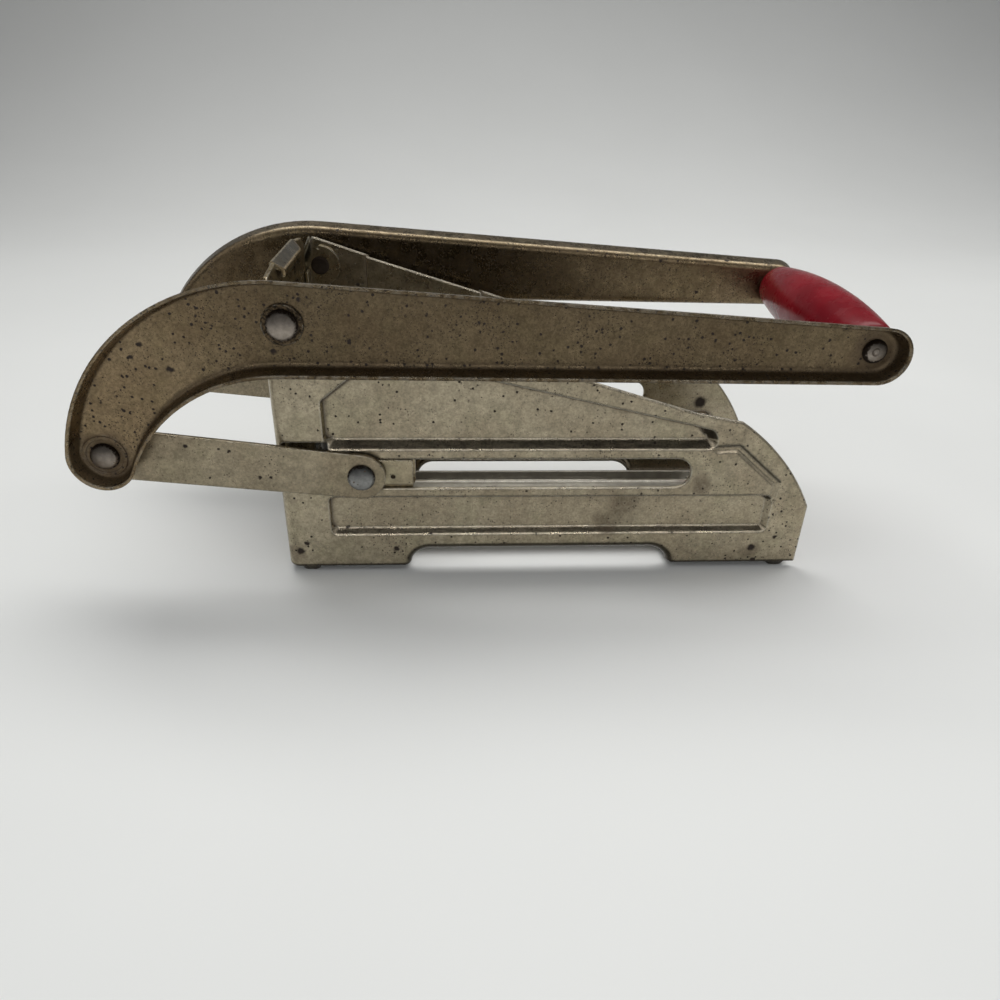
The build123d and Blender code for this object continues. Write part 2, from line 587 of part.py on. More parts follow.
def grip():
    """A turned barrel of wood, thickest in the middle."""
    half = WEB_Y
    reach, radius = GRIP_SHOULDER
    curve_r = (reach ** 2 + (GRIP_MAX_R - radius) ** 2) / (2 * (GRIP_MAX_R - radius))
    end_r = GRIP_MAX_R - (curve_r - math.sqrt(curve_r ** 2 - half ** 2))
    arc = ThreePointArc((end_r, -half), (GRIP_MAX_R, 0), (end_r, half))
    section = make_face(arc + Polyline((end_r, half), (ROD_R, half), (ROD_R, -half), (end_r, -half)))
    barrel = revolve(section, Axis.Y)
    ends = [e for e in barrel.edges().filter_by(GeomType.CIRCLE) if e.radius > ROD_R + 1
            and abs(abs(e.center().Y) - half) < 0.01]
    barrel = fillet(ends, GRIP_ROUND)
    return Pos(GRIP_PIN[0], 0, GRIP_PIN[1]) * barrel


def grip_rod():
    """A through rod, headed over outside both arms, with a punched dimple in each head."""
    rod = side_disc(GRIP_PIN, ROD_R, -WEB_OUT, WEB_OUT)
    head = domed_head(GRIP_PIN, ROD_HEAD_R, WEB_OUT, 1.4)
    dimple = Pos(GRIP_PIN[0], -(WEB_OUT + 2.0), GRIP_PIN[1]) * Sphere(1.5)
    head -= dimple
    return rod + head + mirror(head, Plane.XZ)


# ---- write every node ----
def place(shape):
    """Shift from the drawing's x and z to the part's own: the middle of its length, and its lowest point."""
    return Pos(-CENTRE_X, 0, NUB_DROP) * shape


nodes = {
    "floor_pan": floor_pan(),
    "blade_frame": blade_frame(),
    "vertical_blades": blades(upright=True),
    "horizontal_blades": blades(upright=False),
    "pusher_block": pusher_block(),
    "pusher_carriage": pusher_carriage(),
    "pusher_rivets": pusher_rivets(),
    "grip": grip(),
    "grip_rod": grip_rod(),
}
left_pieces = {
    "side_wall": side_wall(),
    "blade_guide": blade_guide(),
    "slide_shoe": slide_shoe(),
    "slide_rivet": slide_rivet(),
    "arm": arm(),
    "pivot_rivet": pivot_rivet(),
    "pivot_spacer": ring_washer(PIVOT, PIVOT_SHANK_R, 6.5, WALL_Y, WEB_Y - AXIAL),
    "pivot_washer": ring_washer(PIVOT, PIVOT_SHANK_R, PIVOT_WASHER_R, WEB_OUT + AXIAL, WEB_OUT + AXIAL + 0.8),
    "crank_rivet": crank_rivet(),
    "link": link(),
    "link_rivet": link_rivet(),
}
for name, piece in left_pieces.items():
    nodes["left_" + name] = piece
    nodes["right_" + name] = mirror(piece, Plane.XZ)

os.makedirs("parts", exist_ok=True)
for name, shape in nodes.items():
    placed = place(shape)
    solids = placed.solids()
    export_step(solids[0] if len(solids) == 1 else Compound(list(solids)), "parts/" + name + ".step")
    print(name, len(solids), "solid", round(sum(s.volume for s in solids), 1), "mm3")
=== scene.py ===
# %% [markdown]
# # A french fry cutter in worn nickel plate
#
# This lesson dresses a hand-lever potato cutter. Its pressed sheets, rivets and blades are already solid
# models that move together, so most of the work here is light and finish: old plating full of tiny pits,
# rust and painted shade where two sheets meet, painted highlights and shade on the pressed bends, bright
# rivet heads and a lacquered wooden grip.
# The solids are loaded first and are never moved or reshaped.

import math

import bpy
from mathutils import Matrix, Vector


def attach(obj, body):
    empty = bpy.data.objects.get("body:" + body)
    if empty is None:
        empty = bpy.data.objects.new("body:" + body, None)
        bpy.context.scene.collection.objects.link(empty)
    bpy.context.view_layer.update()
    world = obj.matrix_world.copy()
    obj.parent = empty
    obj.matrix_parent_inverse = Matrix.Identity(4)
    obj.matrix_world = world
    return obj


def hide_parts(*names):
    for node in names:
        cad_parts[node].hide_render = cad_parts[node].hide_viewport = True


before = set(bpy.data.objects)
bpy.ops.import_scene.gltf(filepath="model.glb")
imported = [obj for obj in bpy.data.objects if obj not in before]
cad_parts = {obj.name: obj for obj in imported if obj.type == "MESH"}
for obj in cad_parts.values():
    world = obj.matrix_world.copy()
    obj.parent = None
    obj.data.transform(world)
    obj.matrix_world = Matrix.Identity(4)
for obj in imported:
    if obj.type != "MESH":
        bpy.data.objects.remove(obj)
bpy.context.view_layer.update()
MM = 0.001

# %% [markdown]
# ## The camera
#
# The cutter is seen from a standing person's height, a little from the left and well from above, with
# the camera held slightly askew. A camera could be placed by eye, but three angles and a focal length are
# easier to correct one at a time, so the direction of view is worked out from them.

# %% Place the camera
FOCAL_LENGTH = 27.693
YAW, PITCH, ROLL = math.radians(4.152), math.radians(29.373), math.radians(1.746)
CAMERA_PLACE = Vector((-0.012874, -0.271265, 0.161015))

forward = Vector((math.sin(YAW) * math.cos(PITCH), math.cos(YAW) * math.cos(PITCH), -math.sin(PITCH)))
level_right = Vector((math.cos(YAW), -math.sin(YAW), 0))
level_up = level_right.cross(forward)
right = math.cos(ROLL) * level_right + math.sin(ROLL) * level_up
up = -math.sin(ROLL) * level_right + math.cos(ROLL) * level_up

camera = bpy.data.objects.new("camera", bpy.data.cameras.new("camera"))
bpy.context.scene.collection.objects.link(camera)
camera.data.lens = FOCAL_LENGTH
camera.data.sensor_width = 36
camera.data.clip_start = 0.01
axes = Matrix((right, up, -forward)).transposed()
camera.matrix_world = Matrix.Translation(CAMERA_PLACE) @ axes.to_4x4()
bpy.context.scene.camera = camera
print("camera", [round(v, 4) for v in CAMERA_PLACE], "lens", FOCAL_LENGTH)

# %% [markdown]
# ## The table and the light
#
# The cutter stands on a pale matt board that curves up behind it, so that no horizon shows. A plain plane
# and a wall would meet in a hard line. Instead the far edge of one plane is extruded upwards, and the
# crease between the two is bevelled into a broad round.

# %% Build the curved backdrop
TABLE_SIZE = 6.0             # in metres
TABLE_BACK = 1.35
WALL_HEIGHT = 3.0
CREASE_ROUND = 0.8
NEAR_ZERO = 0.01


def is_back(vertex):
    return floor.data.vertices[vertex].co.y > TABLE_BACK - NEAR_ZERO


def is_low(vertex):
    return floor.data.vertices[vertex].co.z < NEAR_ZERO


bpy.ops.object.select_all(action="DESELECT")
bpy.ops.mesh.primitive_plane_add(size=TABLE_SIZE, location=(0, TABLE_BACK - TABLE_SIZE / 2, 0))
floor = bpy.context.object
floor.name = "table"
bpy.ops.object.transform_apply(location=True)
bpy.ops.object.mode_set(mode="EDIT")
bpy.ops.mesh.select_mode(type="EDGE")
bpy.ops.mesh.select_all(action="DESELECT")
bpy.ops.object.mode_set(mode="OBJECT")
for edge in floor.data.edges:
    edge.select = all(is_back(v) for v in edge.vertices)
bpy.ops.object.mode_set(mode="EDIT")
bpy.ops.mesh.extrude_region_move(TRANSFORM_OT_translate={"value": (0, 0, WALL_HEIGHT)})
bpy.ops.object.mode_set(mode="OBJECT")
for edge in floor.data.edges:
    edge.select = all(is_back(v) and is_low(v) for v in edge.vertices)
bpy.ops.object.mode_set(mode="EDIT")
bpy.ops.mesh.bevel(offset=CREASE_ROUND, segments=24, affect="EDGES")
bpy.ops.object.mode_set(mode="OBJECT")
bpy.ops.object.shade_smooth()
print("backdrop faces:", len(floor.data.polygons))

# %% [markdown]
# The light is plain and soft: a broad lamp above and behind, a weaker one on the left, and a slim, low one in
# front. Old plating looks like metal only if it has something darker to mirror, so the sky is dim in front of
# the cutter and brighter overhead: the upright sheets mirror the pale table, the slopes of the recesses
# mirror the dim sky, and the bends between them catch the slim lamp as a bright line. One even white sky
# would make the sheet look like cardboard.

# %% Add the lamps and the sky
def soft_lamp(name, place, aim, size, power, colour=(1, 1, 1)):
    """A rectangular lamp. Place, aim and size are in metres, and power is in watts."""
    lamp = bpy.data.objects.new(name, bpy.data.lights.new(name, "AREA"))
    bpy.context.scene.collection.objects.link(lamp)
    lamp.data.shape = "RECTANGLE"
    lamp.data.size, lamp.data.size_y = size
    lamp.data.energy = power
    lamp.data.color = colour
    lamp.location = place
    lamp.rotation_mode = "QUATERNION"
    lamp.rotation_quaternion = (Vector(aim) - Vector(place)).to_track_quat("-Z", "Y")
    return lamp


soft_lamp("lamp_overhead", (0.10, 0.40, 1.10), (0, 0, 0), (1.7, 0.6), 11.3, (1.0, 0.99, 0.965))
soft_lamp("lamp_left", (-1.3, -0.5, 0.9), (0, 0, 0.05), (0.8, 0.8), 1.6, (0.97, 0.99, 1.0))
soft_lamp("lamp_front", (0.0, -1.35, 0.70), (0, 0, 0.05), (1.6, 0.08), 4.0)

world = bpy.data.worlds.new("soft_sky")
bpy.context.scene.world = world
world.use_nodes = True
sky = world.node_tree
sky.nodes.clear()
direction = sky.nodes.new("ShaderNodeTexCoord")
parts = sky.nodes.new("ShaderNodeSeparateXYZ")
sky.links.new(direction.outputs["Generated"], parts.inputs["Vector"])


def sky_share(axis, start, end, low, high):
    """A brightness that grows smoothly with one part of the direction."""
    node = sky.nodes.new("ShaderNodeMapRange")
    node.interpolation_type = "SMOOTHSTEP"
    sky.links.new(parts.outputs[axis], node.inputs["Value"])
    for socket, value in (("From Min", start), ("From Max", end), ("To Min", low), ("To Max", high)):
        node.inputs[socket].default_value = value
    return node.outputs["Result"]


strength = sky.nodes.new("ShaderNodeMath")
sky.links.new(sky_share("Z", 0.55, 0.98, 0.10, 0.56), strength.inputs[0])
sky.links.new(sky_share("Y", -0.5, 0.3, 0.0, 0.22), strength.inputs[1])
background = sky.nodes.new("ShaderNodeBackground")
background.inputs["Color"].default_value = (0.98, 0.99, 1.0, 1)
output = sky.nodes.new("ShaderNodeOutputWorld")
sky.links.new(strength.outputs["Value"], background.inputs["Strength"])
sky.links.new(background.outputs["Background"], output.inputs["Surface"])
bpy.context.scene.view_settings.view_transform = "Standard"

# %% [markdown]
# ## A workbench for finishes
#
# A finish is a small tree of nodes. The same few moves come back in every one: clouds of noise, scattered
# dots, a mix of two colours, a soft threshold. They are wrapped here once, with sizes in millimetres, so
# that each finish below reads like a recipe. Everything is measured on Object coordinates, which are the
# cutter's own, so the pattern stays on the metal when the lever moves.

# %% Define the workbench
WALL_FRONT_X = -71.2         # where the walls begin, in millimetres along the cutter
FOOT_Z = 1.8


def on_wall(x, z, y=-38.0):
    """A place on a wall, measured back from its front edge and up from its foot."""
    return (x + WALL_FRONT_X, y, z + FOOT_Z)


class Finish:
    """A material that is built up node by node."""

    def __init__(self, name):
        self.material = bpy.data.materials.new(name)
        self.material.use_nodes = True
        self.tree = self.material.node_tree
        self.tree.nodes.clear()
        self.place = self.add("ShaderNodeTexCoord").outputs["Object"]
        self.normal = self.add("ShaderNodeNewGeometry").outputs["Normal"]
        own = self.add("ShaderNodeTexCoord").outputs["Normal"]
        self.upward = self.part(own, "Z")
        self.across = self.math("ABSOLUTE", self.part(self.place, "Y"))

    def add(self, kind, inputs=(), **settings):
        node = self.tree.nodes.new(kind)
        for key, value in settings.items():
            setattr(node, key, value)
        for socket, value in dict(inputs).items():
            if isinstance(value, bpy.types.NodeSocket):
                self.tree.links.new(value, node.inputs[socket])
            else:
                node.inputs[socket].default_value = value
        return node

    def part(self, vector, axis):
        return self.add("ShaderNodeSeparateXYZ", {"Vector": vector}).outputs[axis]

    def vector(self, operation, a, b=(0, 0, 0)):
        return self.add("ShaderNodeVectorMath", {0: a, 1: b}, operation=operation).outputs["Vector"]

    def distance(self, place, centre):
        """How far each place is from a centre given in millimetres."""
        node = self.add("ShaderNodeVectorMath", {0: place, 1: [v * MM for v in centre]}, operation="DISTANCE")
        return node.outputs["Value"]

    def times(self, *factors):
        """The product of any number of values."""
        product = factors[0]
        for factor in factors[1:]:
            product = self.math("MULTIPLY", product, factor)
        return product

    def math(self, operation, a, b=0.0, clamp=False):
        node = self.add("ShaderNodeMath", {0: a, 1: b}, operation=operation, use_clamp=clamp)
        return node.outputs["Value"]

    def step(self, value, start, end, low=0.0, high=1.0):
        """Low until the value reaches start, high from end on, and smooth between them."""
        node = self.add("ShaderNodeMapRange", {"Value": value, "From Min": start, "From Max": end,
                                               "To Min": low, "To Max": high},
                        interpolation_type="SMOOTHSTEP")
        return node.outputs["Result"]

    def band(self, value, rise, full, hold, end):
        """One between two values, and falling off to 0 outside them."""
        return self.times(self.step(value, rise, full), self.step(value, end, hold))

    def mix(self, amount, a, b):
        """Colour a where the amount is 0, colour b where it is 1."""
        node = self.add("ShaderNodeMix", data_type="RGBA")
        for socket, value in ((0, amount), (6, a), (7, b)):
            if isinstance(value, bpy.types.NodeSocket):
                self.tree.links.new(value, node.inputs[socket])
            else:
                node.inputs[socket].default_value = value
        return node.outputs[2]

    def cloud(self, size, detail=3.0, roughness=0.55, place=None):
        """Soft noise from 0 to 1 whose lumps are about that many millimetres wide."""
        node = self.add("ShaderNodeTexNoise", {"Vector": place or self.place, "Scale": 1 / (size * MM),
                                               "Detail": detail, "Roughness": roughness})
        return node.outputs["Fac"]

    def along(self, start, end, low=0.0, high=1.0):
        """Low up to one distance from the walls' front edge, high from another on. In millimetres."""
        return self.step(self.part(self.place, "X"), (start + WALL_FRONT_X) * MM,
                         (end + WALL_FRONT_X) * MM, low, high)

    def shifted(self, offset, stretch=(1, 1, 1)):
        """The place, moved by millimetres and stretched, so that two clouds of one size differ."""
        node = self.add("ShaderNodeMapping", {"Vector": self.place,
                                              "Location": [v * MM for v in offset], "Scale": stretch})
        return node.outputs["Vector"]

    def wobbled(self, size, reach):
        """The place, pushed about by noise, which makes round marks ragged. In millimetres."""
        noise = self.add("ShaderNodeTexNoise", {"Vector": self.place, "Scale": 1 / (size * MM),
                                                "Detail": 2.0})
        centred = self.vector("SUBTRACT", noise.outputs["Color"], (0.5, 0.5, 0.5))
        return self.vector("ADD", self.place, self.vector("MULTIPLY", centred, (2 * reach * MM,) * 3))

    def dots(self, spacing, radius, share, place=None):
        """Scattered dots: one in each cell of that spacing, kept in a share of the cells."""
        cell = self.add("ShaderNodeTexVoronoi", {"Vector": place or self.place,
                                                 "Scale": 1 / (spacing * MM)})
        parts = self.add("ShaderNodeSeparateColor", {"Color": cell.outputs["Color"]})
        kept = self.math("LESS_THAN", parts.outputs["Red"], share)
        reach = self.math("MULTIPLY", self.math("ADD", parts.outputs["Green"], 0.35), radius / spacing)
        fill = self.math("SUBTRACT", 1.0, self.math("DIVIDE", cell.outputs["Distance"], reach))
        return self.times(self.step(fill, 0.0, 0.35), kept)

    def blots(self, marks, place):
        """Marks at chosen places. Each is ((x, y, z), radius) in millimetres."""
        total = None
        for centre, radius in marks:
            mark = self.step(self.distance(place, centre), radius * MM, radius * 0.45 * MM)
            total = mark if total is None else self.math("MAXIMUM", total, mark)
        return total

    def soft_edges(self, radius):
        """The surface's normal as if its edges were rounded by that many millimetres."""
        return self.add("ShaderNodeBevel", {"Radius": radius * MM}, samples=6).outputs["Normal"]

    def edge_wear(self, rounded):
        """From 0 on flat sheet to 1 at an edge, where rounded normals differ from true ones."""
        product = self.add("ShaderNodeVectorMath", {0: rounded, 1: self.normal}, operation="DOT_PRODUCT")
        return self.step(product.outputs["Value"], 0.995, 0.87)

    def corners(self, reach, open_at=0.92, deep_at=0.35):
        """From 0 in the open to 1 deep in the piece's own inside corners."""
        node = self.add("ShaderNodeAmbientOcclusion", {"Distance": reach * MM}, samples=8, only_local=True)
        return self.step(node.outputs["AO"], open_at, deep_at)

    def relief(self, height, depth, normal=None):
        """A normal bumped by a height from 0 to 1 that stands for that many millimetres."""
        inputs = {"Height": height, "Distance": depth * MM, "Strength": 1.0}
        if normal is not None:
            inputs["Normal"] = normal
        return self.add("ShaderNodeBump", inputs).outputs["Normal"]

    def surface(self, colour, roughness, normal, **plain):
        """The finished surface. Plain values go straight to the shader's own sockets."""
        shader = self.add("ShaderNodeBsdfPrincipled", {"Base Color": colour, "Roughness": roughness,
                                                       "Normal": normal})
        for name, value in plain.items():
            socket = shader.inputs[name.replace("_", " ").title().replace("Ior", "IOR")]
            if isinstance(value, bpy.types.NodeSocket):
                self.tree.links.new(value, socket)
            else:
                socket.default_value = value
        self.add("ShaderNodeOutputMaterial", {"Surface": shader.outputs["BSDF"]})
        return self.material


print("workbench ready")

# %% [markdown]
# ## Pitted nickel plate
#
# Nickel plate that has been in a kitchen for decades is a warm, slightly green grey. It has three scales of
# damage: a haze of pits under half a millimetre wide, separate brown dots about a millimetre wide, and a few
# large rust marks. Image textures could show this, but they would stretch over the bends. Layers of noise
# and scattered dots have no seams and no fixed resolution.
# The same recipe serves all the sheets, with more or fewer pits and a lighter or browner tone.

# %% Mix the plate recipe
PALE_PLATE = (0.44, 0.385, 0.275, 1)
BROWN_PLATE = (0.37, 0.315, 0.22, 1)
OLIVE_PLATE = (0.38, 0.34, 0.23, 1)
RUST = (0.022, 0.012, 0.006, 1)
RUST_AND_SHADE_BROWN = (0.085, 0.052, 0.026, 1)
BARE_EDGE = (0.66, 0.62, 0.52, 1)
METALNESS = 0.95
CREASE = (1.5, 0.93, 0.62)   # how far a sharp crease reaches, and how closed it is where it starts and ends


def plate(name, tone=(1, 1, 1), grain=0.12, pits=0.06, spots=0.04, grime_and_shade=0.5, shine=0.30, bend=0.9,
          rub=0.45, steady=0.0, painted_light=None, marks=(), smears=()):
    """Old plating: grain is the contrast of the fine haze; pits and spots are the share of cells with a dot.

    Bend is how far the edges look rounded, in millimetres. Rub is how bare they are worn, and steady how
    unbroken that wear is. The grime amount sets how dark the inside corners get, with rust and painted shade.
    The painted light function paints light and shade: the places where this piece is darker or lighter."""
    finish = Finish(name)
    colour = finish.mix(finish.step(finish.cloud(24, 3), 0.36, 0.64), PALE_PLATE, BROWN_PLATE)
    greener = finish.step(finish.cloud(15, 3, place=finish.shifted((90, 40, 70))), 0.46, 0.68)
    colour = finish.mix(finish.times(greener, 0.6), colour, OLIVE_PLATE)
    haze = finish.step(finish.cloud(0.8, 2, 0.7), 0.36, 0.64, 1 - grain, 1 + grain)
    haze = finish.times(haze, finish.step(finish.cloud(3.0, 5, 0.7), 0.3, 0.7, 0.80, 1.16))
    toned = finish.vector("MULTIPLY", tone, haze)
    # Painted light and shade, for the pieces that have it.
    if painted_light:
        toned = finish.vector("MULTIPLY", toned, painted_light(finish))
    colour = finish.vector("MULTIPLY", colour, toned)

    ragged = finish.wobbled(0.8, 0.3)
    crowd = finish.step(finish.cloud(11, 3), 0.38, 0.66, 0.15, 1.0)
    pinholes = finish.times(finish.dots(0.8, 0.32, min(pits * 3, 1.0), ragged), crowd, 0.85)
    small = finish.dots(1.45, 0.42, pits, ragged)
    large = finish.dots(5.5, 1.1, spots, finish.wobbled(1.3, 0.8))
    rust = finish.math("MAXIMUM", finish.math("MAXIMUM", small, large), pinholes)
    if marks:
        rust = finish.math("MAXIMUM", rust, finish.blots(marks, finish.wobbled(1.6, 0.9)))
    # Inside corners are darkened towards brown: rust bitten in by noise, and a painted shade.
    corner = finish.corners(3.2)
    bitten = finish.times(finish.step(finish.cloud(1.8, 4, 0.7), 0.38, 0.6), corner)
    dirt_and_shade = finish.math("MULTIPLY", finish.math("ADD", bitten, finish.times(corner, 0.7)), grime_and_shade, clamp=True)
    # Sharp creases get a further painted shade line.
    dirt_and_shade = finish.math("MAXIMUM", dirt_and_shade, finish.times(finish.corners(*CREASE), 0.75))
    if smears:
        stain = finish.times(finish.blots(smears, finish.wobbled(7, 4)),
                             finish.step(finish.cloud(1.5, 4, 0.75), 0.3, 0.62, 0.15, 0.6))
        dirt_and_shade = finish.math("MAXIMUM", dirt_and_shade, stain)
    colour = finish.mix(dirt_and_shade, colour, RUST_AND_SHADE_BROWN)
    colour = finish.mix(rust, colour, RUST)

    rounded = finish.soft_edges(bend)
    unbroken = finish.step(finish.cloud(2.5, 4), 0.4, 0.6, steady, 1.0)
    worn = finish.times(finish.edge_wear(rounded), unbroken, finish.math("SUBTRACT", 1.0, dirt_and_shade, clamp=True))
    colour = finish.mix(finish.times(worn, rub), colour, BARE_EDGE)

    rough = finish.step(finish.cloud(5, 4), 0.3, 0.7, shine - 0.05, shine + 0.07)
    foul = finish.math("MAXIMUM", rust, dirt_and_shade)
    rough = finish.math("ADD", rough, finish.times(foul, 0.35), clamp=True)
    metal = finish.math("SUBTRACT", METALNESS, finish.times(foul, 0.75), clamp=True)
    skin = finish.math("SUBTRACT", finish.times(finish.cloud(2.2, 5, 0.6), 0.4), finish.times(rust, 0.6))
    normal = finish.relief(skin, 0.08, rounded)
    return finish.surface(colour, rough, normal, metallic=metal)


print("plate recipe ready")

# %% [markdown]
# ### Side walls, links and guides
#
# The two pressed walls are the cleanest sheets. Their large rust marks are set one by one, near the feet and
# along the lower recess, because random dots never fall in such telling places.

# %% Dress the walls
WALL_MARKS = [(on_wall(4.7, 7.2), 1.9), (on_wall(7.2, 10.2), 1.2), (on_wall(38.7, 7.8), 1.4),
              (on_wall(75.0, 17.9), 1.5), (on_wall(117.6, 16.9), 1.7), (on_wall(113.6, 24.0), 1.4),
              (on_wall(132.5, 6.2), 1.2), (on_wall(168.8, 7.0), 1.9), (on_wall(176.7, 11.3), 1.3),
              (on_wall(51.0, 59.3), 0.9), (on_wall(166.9, 33.8, 36.6), 3.6)]
WALL_SMEARS = [(on_wall(119.5, 23.3), 9), (on_wall(113.6, 17.5), 6), (on_wall(146.0, 33.0), 5),
               (on_wall(168.0, 6.0), 5), (on_wall(3.0, 6.0), 5)]


# Heights under which the wall is painted paler, and the colour of the painted highlight on the bends.
PAINTED_PALE_BELOW, PAINTED_PALE_FROM = 34 * MM, 22 * MM
PAINTED_BEND_HIGHLIGHT = (2.3, 2.3, 2.4, 1)


def slope_painted_light(finish):
    """Painted light and shade on a pressed wall, from the tilt of its softened edges.

    The slopes get a painted shade with streaks. The bend at their foot gets a painted highlight, a bright
    line with a painted shade line under it, and edges that face down get a thin painted shade line. The low
    part is painted paler."""
    tilt = finish.part(finish.soft_edges(1.3), "Z")
    stretched = finish.shifted((0, 0, 0), (0.25, 1, 1))
    streak = finish.step(finish.cloud(2.2, 4, 0.7, stretched), 0.35, 0.65, 0.6, 0.8)
    # Painted shade on the slopes, broken by streaks.
    slope = finish.times(finish.band(finish.upward, 0.42, 0.6, 0.8, 0.9), streak)
    in_open = finish.step(finish.corners(2.2, *CREASE[1:]), 0.5, 0.1)
    # A painted shade line under the bend's painted highlight.
    under = finish.times(finish.band(tilt, 0.04, 0.12, 0.24, 0.34), finish.step(finish.upward, 0.3, 0.1),
                         in_open, 0.7)
    # Painted shade on edges and slopes that face down.
    overhang = finish.math("MAXIMUM", finish.step(tilt, -0.03, -0.2), finish.step(finish.upward, -0.1, -0.25))
    dark = finish.math("MAXIMUM", finish.math("MAXIMUM", slope, under), finish.times(overhang, 0.8))
    # The low part of the wall is painted paler.
    painted_paler_below = finish.step(finish.part(finish.place, "Z"), PAINTED_PALE_BELOW, PAINTED_PALE_FROM, 1.0, 1.2)
    painted_light = finish.times(finish.math("SUBTRACT", 1.0, dark), painted_paler_below)
    # The painted highlight line along the bends.
    line = finish.times(finish.band(tilt, 0.30, 0.38, 0.58, 0.66), in_open)
    return finish.mix(line, painted_light, PAINTED_BEND_HIGHLIGHT)


# The walls get painted shade on their slopes and painted highlights on their bends.
wall_finish = plate("pitted_plate_walls", tone=(0.87, 0.86, 0.86), grain=0.12, pits=0.12, spots=0.035,
                    grime_and_shade=0.55, bend=1.2, rub=0.8, steady=0.6, painted_light=slope_painted_light, marks=WALL_MARKS,
                    smears=WALL_SMEARS)


def dress(material, *names):
    """Put one finish on CAD pieces. Their shapes stay as they are."""
    for name in names:
        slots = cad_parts[name].data.materials
        slots.clear()
        slots.append(material)


dress(wall_finish, "left_side_wall", "right_side_wall")
LINK_MARKS = [(on_wall(-27.8, 49.4, -40.4), 0.9), (on_wall(-13.8, 47.6, -40.4), 0.8),
              (on_wall(-5.4, 38.0, -40.4), 0.8), (on_wall(-1.5, 38.0, -40.4), 0.8)]
link_finish = plate("pitted_plate_links", tone=(0.70, 0.68, 0.665), grain=0.12, pits=0.06,
                    spots=0.02, grime_and_shade=0.3, marks=LINK_MARKS)
dress(link_finish, "left_link", "right_link")
guide_finish = plate("pitted_plate_guides", tone=(0.9, 0.88, 0.84), pits=0.1, spots=0.08, grime_and_shade=0.6)
dress(guide_finish, "left_blade_guide", "right_blade_guide", "pusher_carriage")
print("dressed walls, links, guides and carriage")

# %% [markdown]
# ### Lever arms
#
# Hands and steam have worked harder on the lever. Its arms are browner and far more pitted than the walls,
# and the corner between the flat web and the turned-out rim is darkened with rust and painted shade. Painted
# shade also darkens the middle of the arms and their inner faces, and a painted highlight lightens the open
# tops of the rims.

# %% Dress the arms
ARM_FACE_Y = -42.1           # the outer face of the left arm's web
INNER_FACE_Y, OUTER_FACE_Y = 41.4 * MM, 42.0 * MM
PIVOT, CRANK, ROD = (8.2, 90.5), (-52.6, 46.9), (192.9, 83.6)
ARM_MARKS = [(on_wall(-34.9, 84.0, ARM_FACE_Y), 1.0), (on_wall(-26.9, 76.2, ARM_FACE_Y), 1.5),
             (on_wall(4.6, 82.1, ARM_FACE_Y), 1.2), (on_wall(-38.0, 80.0, ARM_FACE_Y), 0.9),
             (on_wall(13.6, 98.0, ARM_FACE_Y), 0.9)]
ARM_SMEARS = [(on_wall(*CRANK, ARM_FACE_Y), 11), (on_wall(*CRANK, -ARM_FACE_Y), 11),
              (on_wall(*ROD, ARM_FACE_Y), 10), (on_wall(*ROD, -ARM_FACE_Y), 10)]


# The colour of the painted highlight on the open tops of the rims.
PAINTED_TOP_HIGHLIGHT = (1.0, 1.1, 1.25, 1)


def arm_painted_light(finish):
    """Painted shade, darkest in the middle of the arms and on their inner faces, and a painted highlight on
    the open rim tops.
    """
    # Painted shade along the arms, and on their inner faces.
    outer = finish.times(finish.along(-50, 15, 1.12, 0.62), finish.along(110, 190, 1.0, 1.15))
    inner = finish.times(finish.along(-25, 12, 2.0, 1.0), finish.along(60, 160, 0.42, 0.9))
    is_outer = finish.step(finish.across, INNER_FACE_Y, OUTER_FACE_Y)
    tone = finish.math("ADD", finish.times(outer, is_outer),
                       finish.times(inner, finish.math("SUBTRACT", 1.0, is_outer)))
    # Painted highlight on the open upward faces of the outer rims.
    open_top = finish.math("SUBTRACT", finish.step(finish.upward, 0.6, 0.9), finish.corners(9.0, 0.97, 0.7),
                           clamp=True)
    broken = finish.step(finish.cloud(2.4, 4, 0.7), 0.36, 0.6, 0.3, 1.0)
    return finish.mix(finish.times(open_top, broken, is_outer), tone, PAINTED_TOP_HIGHLIGHT)


arm_finish = plate("pitted_plate_arms", tone=(0.54, 0.46, 0.38), grain=0.14, pits=0.34, spots=0.08,
                   grime_and_shade=0.95, shine=0.27, bend=1.6, rub=0.3, painted_light=arm_painted_light, marks=ARM_MARKS,
                   smears=ARM_SMEARS)
dress(arm_finish, "left_arm", "right_arm")
print("dressed arms")

# %% [markdown]
# ### Blade cartridge
#
# The cartridge is lifted out and washed, so its sheet is brighter than the walls, with rust only in specks.
# The blades are ground, and stay the cleanest steel of all.

# %% Dress the blade cartridge
# The cartridge's sheet also gets painted shade on its slopes and painted highlights on its bends.
frame_finish = plate("washed_plate", tone=(0.86, 0.77, 0.63), grain=0.12, pits=0.1, spots=0.1, grime_and_shade=0.8,
                     rub=0.8, painted_light=slope_painted_light)
dress(frame_finish, "blade_frame")


